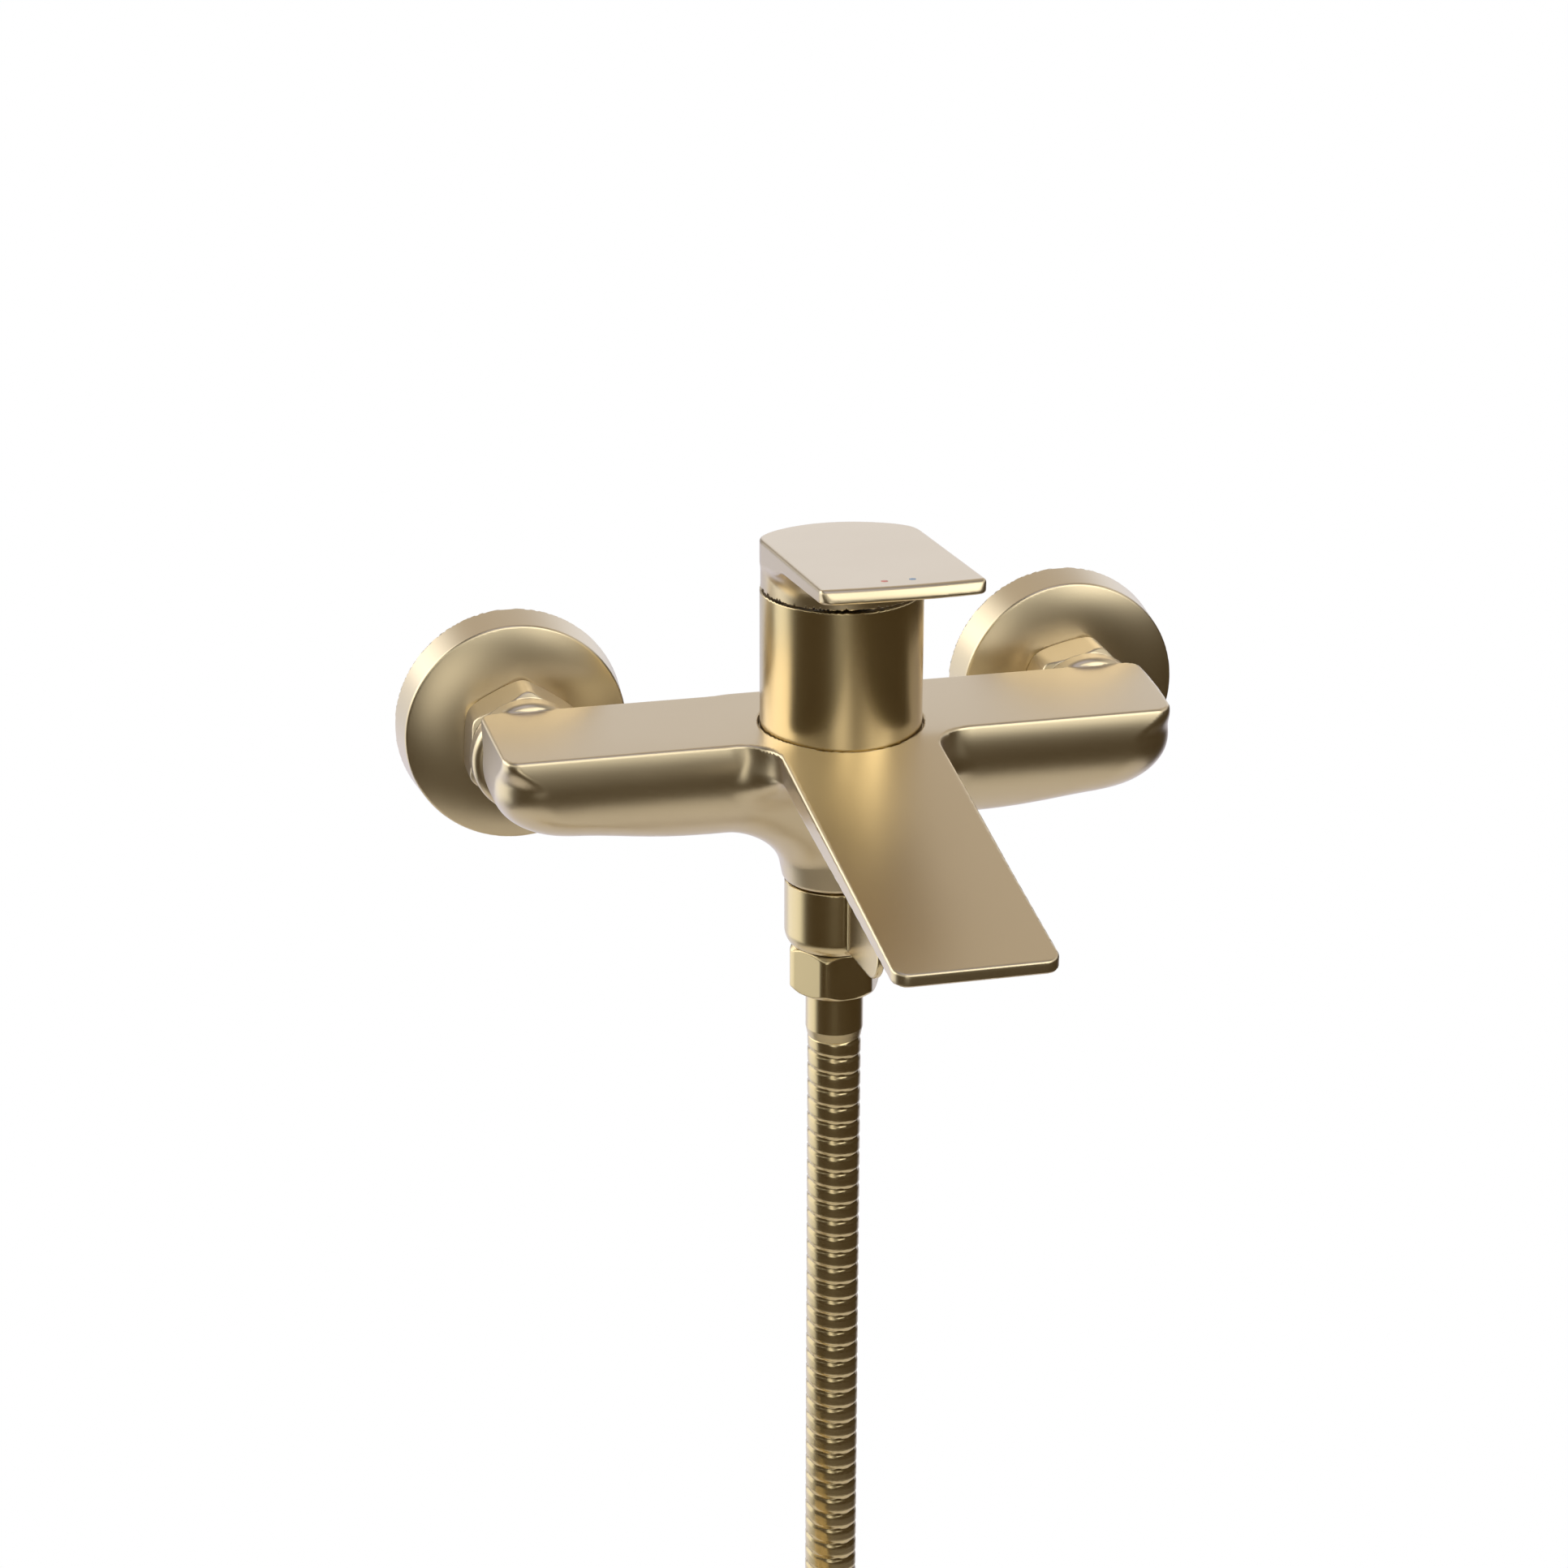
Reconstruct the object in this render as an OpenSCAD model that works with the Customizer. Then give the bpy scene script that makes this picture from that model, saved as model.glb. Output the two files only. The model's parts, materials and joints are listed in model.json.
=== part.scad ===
// Wall-mounted single-lever bath mixer: a bar body with a flat spout, a turning
// outlet diverter below it and a metal shower hose, coiled for storage.
// X runs along the wall, the wall is the plane Y = 0 with the room on its -Y side,
// and Z is up. The origin is midway between the two wall connections.

/* [Body] */
// Distance between the two wall connections
inlet_spacing = 150; // [146:1:154]
// Length of the body bar
body_len = 178; // [176:0.2:184]
// Depth of the body bar from back to front
body_depth = 39.5; // [39:0.5:41]
// Gap between the wall and the back of the body
body_gap = 30; // [30:0.5:32]
// Height of the flat top above the inlet axis
body_top = 12.5; // [12.5:0.25:13.5]
// Depth of the rounded underside below the inlet axis
body_low = 15.3; // [15:0.1:16]
// How far the end faces bulge at mid depth
end_bulge = 1.7; // [1:0.1:2.5]

/* [Wall connections] */
// Diameter of the wall flanges
rosette_d = 60.4; // [58:0.2:66]
// Depth of the wall flanges at their rim
rosette_depth = 12.9; // [12.5:0.1:13.2]
// Width across flats of the union nuts
union_af = 28.5; // [28.5:0.5:30]
// Length of the union nuts
union_len = 12; // [11.5:0.1:12.2]

/* [Spout] */
// Distance from the wall to the tip of the spout
spout_reach = 178.5; // [170:0.5:190]
// Width of the spout
spout_w = 40.2; // [38:0.1:42]
// Fall of the spout towards its tip, in degrees
spout_fall = 8; // [6:0.5:9]
// Thickness at the tip
spout_tip_t = 3.2; // [3.2:0.1:4]
// Thickness where the spout leaves the body
spout_root_t = 6; // [5.8:0.1:6.4]

/* [Lever] */
// Distance from the wall to the turning axis of the lever
tower_y = 56.5; // [56:0.5:57]
// Diameter of the sleeve and of the lever's round skirt
sleeve_d = 40.9; // [40.9:0.1:42]
// Height of the top of the sleeve above the inlet axis
sleeve_top = 47.6; // [47.6:0.1:48]
// Distance from the turning axis to the front edge of the lever
lever_len = 57.5; // [50:0.5:70]
// Height of the lever's top above the inlet axis, at the turning axis
lever_top = 61.4; // [61:0.1:63]
// Rise of the lever's top towards its front edge, in degrees
lever_rise = 5; // [3:0.5:7]
// Thickness of the lever's front edge
lever_tip_t = 3.4; // [2.6:0.1:3.6]

/* [Diverter and hose] */
// Distance from the wall to the outlet axis
outlet_y = 52; // [51:0.5:53]
// Diameter of the diverter ring
knob_d = 26.2; // [26:0.1:27]
// Reach of the diverter's finger plate from the outlet axis
fin_reach = 36.5; // [28:0.5:38]
// Turn of the finger plate from straight ahead, in degrees
fin_yaw = 4; // [0:1:10]
// Outside diameter of the hose
hose_d = 14; // [13:0.5:14]
// Diameter of the stored coil at the middle of its turns
coil_d = 140; // [140:2:150]
// Turns in the stored coil
coil_turns = 3; // [2:1:3]

/* [Hidden] */
$fn = 64;

gold = [0.80, 0.72, 0.53];
brass = [0.78, 0.66, 0.38];
steel = [0.72, 0.73, 0.75];
rubber = [0.10, 0.10, 0.11];
white = [0.93, 0.93, 0.91];
grey = [0.45, 0.46, 0.48];
ceramic = [0.96, 0.95, 0.92];
fibre = [0.25, 0.36, 0.30];
e = 0.01;

// Pipe threads are drawn as plain cylinders at their middle radius.
g34_r = 12.64;
g12_r = 9.9;
stud_r = 10.48;
g12_minor_r = 9.32;
run = 0.03;

body_back = -body_gap;
body_front = -body_gap - body_depth;
body_mid = (body_back + body_front) / 2;
under_r = body_depth / 2;
under_z = under_r - body_low;
end_r = 20;
end_front_r = 11;
end_back_r = 4;
spout_break = 70;
root_y = spout_break - 6;
seat_z = body_top - 1.3;
skirt_z = sleeve_top + 1.1;
sleeve_r = sleeve_d / 2;

// Wall connection, measured outwards from the wall
nut_from = 14.3;
nut_to = nut_from + union_len;
union_end = 20.4;
washer_t = 1.6;
flange_t = 2.2;
boss_from = nut_to + 0.4;
boss_r = 14.3;
tail_r = 9;
tail_end = 42;

// Cartridge levels
floor_z = 14;
base_z = 14.6;
disc_z = 19.6;
slide_z = 23.6;
carrier_z = 27.1;
carrier_top = 31;
guide_z = 31.6;
pivot_z = 36.3;
housing_z = 38;
tower_top = 43;
cart_r = 15;
tower_r = 18.9;
thread_r = 16.4;
ball_z = 29.8;
disc_rest = 1.3;
stem_top = skirt_z + 8.3;

// Outlet levels
boss_z = -34.3;
chamber_z = -14;
window_z = -19.2;
seat_plate_z = -46.3;
spigot_r = 10.8;
spool_r = 8;
knob_z = boss_z - 0.4;
knob_low = knob_z - 14.2;
pin_z = -41;
ring_zs = [-16.9, -23.2];
ring_h = 1.2;
nut_top = knob_low - 0.4;
nipple_z = -57.5;
washer_z = -59.3;
flange_z = -60.4;
nut_low = -61.7;
ferrule_r = 7.5;
ferrule_z = -75.5;

// Hose: straight down out of the ferrule, then a round coil
hose_r = hose_d / 2;
hose_route = [
    [0, -52, -75.5], [0, -52, -90], [0, -52, -105], [0, -52, -120], [0, -52, -135],
    [0, -52, -150], [0, -52, -165], [0, -52, -180], [0, -52, -195], [0, -52, -210],
    [0, -52, -225], [0, -52, -240], [0, -52, -255], [0, -52, -270]
];
coil_z = -315;
coil_stub = 45;
coil_y = -52;
coil_r = coil_d / 2;
coil_w = (coil_turns + 1) * hose_d;
tail_y = coil_y - coil_turns * hose_d;
tail_z = coil_z - 50;
end_cap_z = tail_z - 16;
end_washer_z = end_cap_z - 3.5;

// Outlet grille in the underside of the spout
grille_y = 164;
screw_z = skirt_z + 4.5;

function arc(c, r, a0, a1, n = 8) =
    [for (i = [0:n]) c + r * [cos(a0 + (a1 - a0) * i / n), sin(a0 + (a1 - a0) * i / n)]];

// Upper and lower surface of the spout at a distance y from the wall
function spout_z(y) = body_top - tan(spout_fall) * max(0, y - spout_break);
function spout_low(y) =
    let (z0 = body_top - spout_root_t, z1 = spout_z(spout_reach) - spout_tip_t)
    z0 + (y - root_y) * (z1 - z0) / (spout_reach - root_y);
grille_z = spout_z(grille_y) - 1.9;

// ---- placing helpers ----

// Draws a (Y, Z) outline and stretches it along X about the middle
module along_x(len) {
    translate([-len / 2, 0, 0]) rotate([90, 0, 90]) linear_extrude(len) children();
}

// Draws an (X, Z) outline and stretches it from the wall side to the room side
module along_y(from, to) {
    translate([0, -from, 0]) rotate([90, 0, 0]) linear_extrude(to - from) children();
}

// Turns a profile about an axis that leaves the wall at x; the profile's height
// is the distance from the wall
module wall_turned(x) {
    translate([x, 0, 0]) rotate([90, 0, 0]) rotate_extrude() children();
}

module at_tower() {
    translate([0, -tower_y, 0]) children();
}

module at_outlet() {
    translate([0, -outlet_y, 0]) children();
}

module tube(r, bore, z0, z1) {
    translate([0, 0, z0]) difference() {
        cylinder(h = z1 - z0, r = r);
        translate([0, 0, -1]) cylinder(h = z1 - z0 + 2, r = bore);
    }
}

// Hexagon nut blank with turned-down corners, from z = 0 upwards
module hex_blank(af, len, corner_r, bevel) {
    intersection() {
        cylinder(h = len, d = af / cos(30), $fn = 6);
        rotate_extrude() polygon([
            [0, 0], [corner_r - bevel, 0], [corner_r, bevel],
            [corner_r, len - bevel], [corner_r - bevel, len], [0, len]
        ]);
    }
}

// ---- body ----

// Flat top over a round front and underside, with the back upright
module bar_section() {
    edge = 1;
    rise = body_top - edge - under_z;
    turn = asin(rise / (under_r - edge));
    intersection() {
        translate([body_mid, under_z]) circle(under_r, $fn = 96);
        translate([body_front - 1, -body_low - 1]) square([body_depth + 2, under_r + 1]);
    }
    polygon(concat(
        [[body_back, under_z]],
        arc([body_back - 1.2, body_top - 1.2], 1.2, 0, 90),
        arc([body_mid - (under_r - edge) * cos(turn), body_top - edge], edge, 90, 180 - turn),
        arc([body_mid, under_z], under_r, 180 - turn, 180)
    ));
}

// The outlines run past the section's flat top, which alone forms the top face
module front_outline() {
    half = body_len / 2;
    straight = body_top + body_low + 1 - end_r;
    translate([-half, end_r - body_low]) square([body_len, straight]);
    translate([end_r - half, -body_low]) square([body_len - 2 * end_r, straight + end_r]);
    for (s = [-1, 1]) translate([s * (half - end_r), end_r - body_low]) circle(end_r, $fn = 96);
}

module plan_outline() {
    bulge_r = (pow(body_depth / 2, 2) + pow(end_bulge, 2)) / (2 * end_bulge);
    front = body_front - 0.5;
    back = body_back + 1;
    half = body_len / 2;
    intersection() {
        union() {
            translate([end_front_r - half, front])
                square([body_len - 2 * end_front_r, back - front]);
            translate([-half, front + end_front_r])
                square([body_len, back - front - end_front_r - end_back_r]);
            translate([end_back_r - half, body_mid])
                square([body_len - 2 * end_back_r, back - body_mid]);
            for (s = [-1, 1]) {
                translate([s * (half - end_front_r), front + end_front_r])
                    circle(end_front_r, $fn = 96);
                translate([s * (half - end_back_r), back - end_back_r]) circle(end_back_r);
            }
        }
        translate([bulge_r - half, body_mid]) circle(bulge_r, $fn = 180);
        translate([half - bulge_r, body_mid]) circle(bulge_r, $fn = 180);
    }
}

module bar() {
    intersection() {
        along_x(body_len + 2) bar_section();
        along_y(body_gap - 1, body_gap + body_depth + 1) front_outline();
        translate([0, 0, -body_low - 1]) linear_extrude(body_top + body_low + 2) plan_outline();
    }
}

// Flat disc with a rounded rim, its middle at the origin
module puck(r, t, edge) {
    rotate_extrude($fn = 32) polygon(concat(
        [[0, -t / 2]],
        arc([r - edge, edge - t / 2], edge, -90, 0, 5),
        arc([r - edge, t / 2 - edge], edge, 0, 90, 5),
        [[0, t / 2]]
    ));
}

// The spout is one loft from the body's deck to the thin rounded tip
module spout_slab() {
    edge = 1.2;
    corner = 4;
    side = spout_w / 2;
    tip_y = spout_reach - corner;
    hull() {
        for (s = [-1, 1]) {
            for (y = [body_gap + body_depth / 2, spout_break])
                translate([s * (side - edge), -y, body_top - edge]) sphere(edge, $fn = 20);
            translate([s * (side - edge), -root_y, spout_low(root_y) + edge])
                sphere(edge, $fn = 20);
            translate([s * (side - corner), -tip_y, spout_z(tip_y) - spout_tip_t / 2])
                rotate([spout_fall, 0, 0]) puck(corner, spout_tip_t, edge);
        }
    }
}

// Hollow fillet where the side of the spout meets the front of the body
module root_fillet() {
    r = 7;
    side = spout_w / 2 - 0.5;
    z0 = spout_low(root_y + r) + 0.6;
    h = body_top - 1 - z0;
    for (s = [-1, 1]) scale([s, 1, 1]) difference() {
        translate([side, body_front - r, z0]) cube([r + 0.5, r + 1, h]);
        translate([side + r + 0.5, body_front - r, z0 - 1]) cylinder(h = h + 2, r = r);
    }
}

// Boss that carries the outlet, flaring sideways into the underside of the bar
module outlet_boss() {
    r = 14.4;
    flare = 13;
    flare_z = 0.1 - body_low - flare;
    front = outlet_y + r;
    intersection() {
        at_outlet() rotate_extrude() polygon(concat(
            [[0, boss_z]],
            arc([13.6 - 1.2, boss_z + 1.2], 1.2, -90, 0, 5),
            [[r, flare_z - 1.5]],
            arc([r + flare, flare_z], flare, 180, 90, 10),
            [[r + flare, -6], [0, -6]]
        ));
        along_x(60) polygon([
            [-front - 0.1, boss_z - 1], [-front - 0.1, -20], [body_front + 0.6, -1], [-32, -1],
            [-35, -11], [r - outlet_y + 0.1, -20], [r - outlet_y + 0.1, boss_z - 1]
        ]);
    }
}

module inlet_boss(s) {
    wall_turned(s * inlet_spacing / 2) polygon(concat(
        [[0, boss_from]],
        arc([boss_r - 0.8, boss_from + 0.8], 0.8, -90, 0, 4),
        [[boss_r, body_gap + 1.5], [boss_r - 3, body_gap + 6], [0, body_gap + 6]]
    ));
}

module cartridge_tower() {
    at_tower() translate([0, 0, seat_z - 4]) cylinder(h = tower_top - seat_z + 4, r = tower_r);
}

module waterways() {
    // hot and cold: in from the wall, along the bar and up to the cartridge
    for (s = [-1, 1]) {
        translate([s * inlet_spacing / 2, e - boss_from, 0]) rotate([90, 0, 0])
            cylinder(h = tail_end - boss_from, r = tail_r);
        translate([s * inlet_spacing / 2, 1 - tail_end, 0]) rotate([90, 0, 0])
            cylinder(h = 10, r = 6.5);
        translate([s * 6, -50, 0]) rotate([0, s * 90, 0])
            cylinder(h = inlet_spacing / 2 - 6, r = 5.5);
        translate([s * 8.5, -55, 0]) cylinder(h = floor_z + 1, r = 2.6);
    }
    // mixed water: down the back to the diverter, and up the front to the spout
    translate([0, -47.4, chamber_z - 1]) cylinder(h = floor_z - chamber_z + 2, r = 2.6);
    translate([0, -63, window_z]) rotate([4.6, 0, 0]) cylinder(h = 27.6, r = 2);
}

// Flat channel inside the spout and the pocket for the outlet grille
module spout_channel() {
    wall = 1.2;
    roof = 9.8;
    y0 = 60;
    y1 = spout_reach - 7;
    along_x(28) polygon([
        [-y0, roof], [-y0, spout_low(y0 + 10) + 1.6], [-y0 - 10, spout_low(y0 + 10) + 1.6],
        [-y1, spout_low(y1) + wall], [-y1, spout_z(y1) - wall],
        [-84, spout_z(84) - 2.3], [-78, roof]
    ]);
    grille_place() translate([-14.5, -5.5, -6]) cube([29, 11, 6]);
}

module body() {
    color(gold) difference() {
        union() {
            bar();
            spout_slab();
            root_fillet();
            outlet_boss();
            for (s = [-1, 1]) inlet_boss(s);
            cartridge_tower();
        }
        // ring recess that the sleeve drops into
        at_tower() tube(sleeve_r + 0.6, tower_r, seat_z, body_top + 1);
        // cartridge chamber with the thread of the retaining nut
        at_tower() translate([0, 0, floor_z]) cylinder(h = 40, r = cart_r + 0.2);
        at_tower() translate([0, 0, housing_z - 1]) cylinder(h = 20, r = thread_r);
        // bore of the outlet spigot
        at_outlet() translate([0, 0, boss_z - 5]) cylinder(h = chamber_z - boss_z + 5, r = spigot_r);
        waterways();
        spout_channel();
    }
}

// ---- wall connections ----

module rosette(s) {
    r = rosette_d / 2;
    dome = nut_from - 0.2;
    wall = 1.4;
    color(gold) wall_turned(s * inlet_spacing / 2) polygon(concat(
        [[r - 0.2, 0], [r, 0.4], [r - 0.1, rosette_depth - 1.9]],
        arc([r - 1.9, rosette_depth - 1.8], 1.8, 0, 75, 5),
        [for (q = [1:6]) [26.5 - q * 2, rosette_depth + (dome - rosette_depth) * (0.25 + 0.75
            * sin(q * 15))]],
        [[g34_r + 0.02, dome], [g34_r + 0.02, dome - 2.6], [15, dome - 2.6],
         [r - 4, rosette_depth - wall - 0.6], [r - wall - 0.6, rosette_depth - wall - 2.4],
         [r - wall - 0.4, 0]]
    ));
}

// Straight union: thread for the wall fitting, wrench flats, thread for the nut
module wall_union(s) {
    color(brass) difference() {
        union() {
            wall_turned(s * inlet_spacing / 2) polygon([
                [0, -15], [stud_r - 1.2, -15], [stud_r, -13.8], [stud_r, 1], [11.4, 1], [11.4, 4],
                [g34_r, 4.6], [g34_r, union_end - 1], [g34_r - 1, union_end], [0, union_end]
            ]);
            translate([s * inlet_spacing / 2, -1, 0]) rotate([90, 0, 0])
                cylinder(h = 3, d = 24 / cos(30), $fn = 6);
        }
        translate([s * inlet_spacing / 2, 16, 0]) rotate([90, 0, 0]) cylinder(h = 40, r = 7);
    }
}

module union_nut(s, turn) {
    lip = union_end + washer_t + flange_t + 0.05;
    color(gold) translate([s * inlet_spacing / 2, -nut_from, 0]) rotate([90, 0, 0]) difference() {
        rotate([0, 0, turn]) hex_blank(union_af, union_len, union_af / 2 + 1.6, 1.3);
        translate([0, 0, -1]) cylinder(h = lip - nut_from + 1, r = g34_r + run);
        cylinder(h = union_len + 1, r = tail_r + 0.4);
    }
}

module inlet_tail(s) {
    washer_to = union_end + washer_t;
    color(brass) wall_turned(s * inlet_spacing / 2) polygon([
        [6.5, washer_to], [11.9, washer_to], [11.9, washer_to + flange_t],
        [tail_r, washer_to + flange_t], [tail_r, tail_end - 1], [tail_r - 1, tail_end], [6.5, tail_end]
    ]);
}

// Fibre washer with a fine dirt screen across its bore
module filter_washer(s) {
    color(fibre) wall_turned(s * inlet_spacing / 2) polygon([
        [7, union_end], [11.9, union_end], [11.9, union_end + washer_t], [7, union_end + washer_t]
    ]);
    color(steel) translate([s * inlet_spacing / 2, -union_end - 1, 0]) for (i = [-2:2]) {
        len = 2 * sqrt(52 - 7.3 * i * i);
        translate([i * 2.7 - 0.2, 0, -len / 2]) cube([0.4, 0.4, len]);
        translate([-len / 2, 0, i * 2.7 - 0.2]) cube([len, 0.4, 0.4]);
    }
}

// ---- lever and cartridge ----

module sleeve() {
    bevel = 1.2;
    color(gold) at_tower() rotate_extrude($fn = 96) polygon([
        [tower_r, seat_z], [sleeve_r - 0.3, seat_z], [sleeve_r, seat_z + 0.3],
        [sleeve_r, sleeve_top - bevel], [sleeve_r - bevel, sleeve_top], [17.4, sleeve_top],
        [17.4, sleeve_top - 1.4], [tower_r, sleeve_top - 2.8]
    ]);
}

module retaining_nut() {
    color(brass) at_tower() difference() {
        union() {
            tube(thread_r - run, 11, housing_z + 0.1, tower_top);
            translate([0, 0, tower_top]) cylinder(h = 2, d = 27 / cos(30), $fn = 6);
        }
        translate([0, 0, housing_z - 1]) cylinder(h = 12, r = 11);
    }
}

module cartridge_housing() {
    color(grey) at_tower() rotate_extrude() polygon([
        [13.2, disc_z], [cart_r, disc_z], [cart_r, housing_z], [10.9, housing_z],
        [10.9, tower_top + 1], [10.1, tower_top + 1], [10.1, guide_z + 3], [13.2, guide_z + 3]
    ]);
}

module port_holes(r, z0, z1) {
    for (p = [[-8.5, 1.5], [8.5, 1.5], [0, 9.1]])
        translate([p[0], p[1], z0]) cylinder(h = z1 - z0, r = r);
}

module cartridge_base() {
    color(white) at_tower() difference() {
        translate([0, 0, base_z]) cylinder(h = disc_z - base_z, r = cart_r);
        port_holes(2.6, base_z - 1, disc_z + 1);
        port_holes(4, base_z - 1, base_z + 0.8);
    }
}

module base_seals() {
    color(rubber) at_tower() difference() {
        port_holes(4, floor_z, base_z + 0.8);
        port_holes(2.6, floor_z - 1, base_z + 2);
    }
}

module fixed_disc() {
    color(ceramic) at_tower() difference() {
        translate([0, 0, disc_z]) cylinder(h = slide_z - disc_z, r = 13);
        port_holes(2.4, disc_z - 1, slide_z + 1);
    }
}

// Sliding disc with the mixing pocket in its underside
module moving_disc() {
    color(ceramic) at_tower() translate([0, disc_rest, 0]) difference() {
        translate([0, 0, slide_z]) cylinder(h = carrier_z - slide_z, r = 9.3);
        translate([0, 0, slide_z - 1]) cylinder(h = 2.8, r = 6.6);
    }
}

// Driver plate: flats run between the guide's rails, the stem's ball sits in its socket
module disc_carrier() {
    color(rubber) at_tower() difference() {
        translate([0, disc_rest, 0]) intersection() {
            translate([0, 0, carrier_z]) cylinder(h = carrier_top - carrier_z, r = 9.3);
            translate([-7.6, -10, carrier_z]) cube([15.2, 20, 10]);
        }
        translate([0, 0, ball_z - 3.1]) cylinder(h = 10, r = 2.9);
    }
}

// Turning guide: carries the stem's pin, its rails turn the driver plate
module stem_guide() {
    color(grey) at_tower() difference() {
        union() {
            translate([0, 0, guide_z]) cylinder(h = 2.8, r = 12.8);
            translate([0, 0, guide_z]) cylinder(h = 12.2, r = 9.8);
            for (s = [-1, 1])
                translate([s * 9.6 - 1.3, -6, carrier_z + 0.5]) cube([2.6, 12, guide_z - carrier_z]);
        }
        // slot for the swinging stem
        translate([-3.6, -9, guide_z - 1]) cube([7.2, 18, 20]);
        translate([-20, 0, pivot_z]) rotate([0, 90, 0]) cylinder(h = 40, r = 1.5);
    }
}

module stem_pin() {
    color(steel) at_tower() translate([-9.4, 0, pivot_z]) rotate([0, 90, 0])
        cylinder(h = 18.8, r = 1.5);
}

module stem() {
    color(brass) at_tower() difference() {
        union() {
            translate([0, 0, ball_z]) sphere(2.4, $fn = 32);
            translate([0, 0, ball_z]) cylinder(h = 6, r = 1.7);
            translate([-3.2, -3.2, pivot_z - 3]) cube([6.4, 6.4, 6]);
            translate([-3.5, -3.5, pivot_z + 3]) cube([7, 7, stem_top - pivot_z - 3]);
        }
        translate([-5, 0, pivot_z]) rotate([0, 90, 0]) cylinder(h = 10, r = 1.5 + run);
    }
}

// Draws along the lever's top, which rises towards its front edge
module on_lever() {
    translate([0, 0, lever_top]) rotate([-lever_rise, 0, 0]) children();
}

// Thin plate: a round end over the skirt, drawn out to two rounded front corners
module lever_plate() {
    corner = 3.5;
    side = sleeve_r - 0.4 - corner;
    reach = lever_len / cos(lever_rise) - corner;
    on_lever() hull() {
        rotate_extrude($fn = 64) polygon(concat(
            [[0, -4.6], [sleeve_r - 0.3, -4.6], [sleeve_r, -4.3]],
            arc([sleeve_r - 1.6, -1.6], 1.6, 0, 90, 5),
            [[0, 0]]
        ));
        for (s = [-1, 1]) translate([s * side, -reach, -lever_tip_t / 2])
            puck(corner, lever_tip_t, 1.1);
    }
}

module lever_blank() {
    lever_plate();
    // round skirt under the plate
    intersection() {
        translate([0, 0, skirt_z]) cylinder(h = 20, r = sleeve_r - 0.05, $fn = 96);
        on_lever() translate([-30, -30, -32]) cube([60, 60, 29]);
    }
    // hollow flare from the front of the skirt into the underside of the plate
    intersection() {
        on_lever() rotate_extrude($fn = 96) polygon(concat(
            [[0, -9]], arc([sleeve_r + 5.6, -9], 5.7, 180, 95, 6), [[sleeve_r + 5, -3], [0, -3]]
        ));
        translate([0.3 - sleeve_r, -40, skirt_z]) cube([2 * sleeve_r - 0.6, 40, 20]);
    }
}

module lever() {
    color(gold) at_tower() difference() {
        lever_blank();
        // hollow of the skirt, left solid round the stem's socket
        difference() {
            union() {
                translate([0, 0, skirt_z - 1]) cylinder(h = 4, r = sleeve_r - 1.05, $fn = 96);
                translate([0, 0, skirt_z - 1]) cylinder(h = 9.6, r = sleeve_r - 2.2, $fn = 96);
            }
            translate([0, 0, skirt_z + 1.5]) cylinder(h = 10, r = 7.2);
        }
        translate([-3.5, -3.5, skirt_z]) cube([7, 7, stem_top - skirt_z]);
        translate([0, 0, screw_z]) rotate([-90, 0, 0]) cylinder(h = 30, r = 2.5);
    }
}

module lever_screw() {
    color(steel) at_tower() translate([0, 3.5, screw_z]) rotate([-90, 0, 0]) difference() {
        cylinder(h = 6, r = 2.5);
        translate([0, 0, 3.5]) cylinder(h = 4, d = 2.5 / cos(30), $fn = 6);
    }
}

module screw_plug() {
    color(gold) at_tower() translate([0, sleeve_r - 2.4, screw_z]) rotate([-90, 0, 0])
        cylinder(h = 2.2, r = 2.5);
}

// ---- diverter ----

// Fixed tube in the boss: the ring turns on it, the hose nut screws on its end
module outlet_spigot() {
    sweep = 114;
    color(brass) at_outlet() difference() {
        rotate_extrude() polygon([
            [0, seat_plate_z], [spool_r + 0.05, seat_plate_z], [spool_r + 0.05, chamber_z],
            [spigot_r, chamber_z], [spigot_r, knob_low + 0.9], [g12_r, knob_low + 0.9],
            [g12_r, nipple_z + 0.8], [g12_r - 0.8, nipple_z], [5.5, nipple_z],
            [5.5, seat_plate_z - 1.4], [0, seat_plate_z - 1.4]
        ]);
        seat_ports(90);
        // way to the spout
        translate([0, 0, window_z]) rotate([90, 0, 0]) cylinder(h = 20, r = 2.4);
        // arc slot that the diverter's pin sweeps
        rotate([0, 0, fin_yaw - 102]) translate([0, 0, pin_z - 1.9])
            rotate_extrude(angle = sweep) translate([spool_r - 1, 0]) square([4, 3.8]);
    }
}

// Two opposite openings through the seat plates; one set is turned off the other
module seat_ports(turn) {
    for (a = [0, 180]) rotate([0, 0, turn + a]) translate([0, 0, seat_plate_z - 3])
        rotate_extrude(angle = 78) translate([0.8, 0]) square([4.4, 6]);
}

module spigot_seal() {
    color(rubber) at_outlet() tube(spigot_r + 0.6, spigot_r, boss_z - 0.35, boss_z);
}

// Hollow spool: at rest its side window feeds the spout and its ports are turned off
// the seat's; a quarter turn closes the window and opens the way to the hose
module diverter_spool() {
    top = chamber_z - 1;
    plate_z = seat_plate_z + 0.05;
    color(white) at_outlet() difference() {
        translate([0, 0, plate_z]) cylinder(h = top - plate_z, r = spool_r);
        translate([0, 0, plate_z + 1.4]) cylinder(h = 40, r = 5.6);
        seat_ports(0);
        for (z = ring_zs) tube(spool_r + 1, 6.9, z, z + ring_h);
        translate([0, 0, window_z]) rotate([90, 0, 0]) cylinder(h = 20, r = 2.2);
        rotate([0, 0, fin_yaw - 90]) translate([0, 0, pin_z]) rotate([0, 90, 0])
            cylinder(h = 20, r = 1.5);
    }
}

module spool_rings() {
    color(rubber) at_outlet() for (z = ring_zs) tube(spool_r, 6.9, z, z + ring_h);
}

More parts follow.
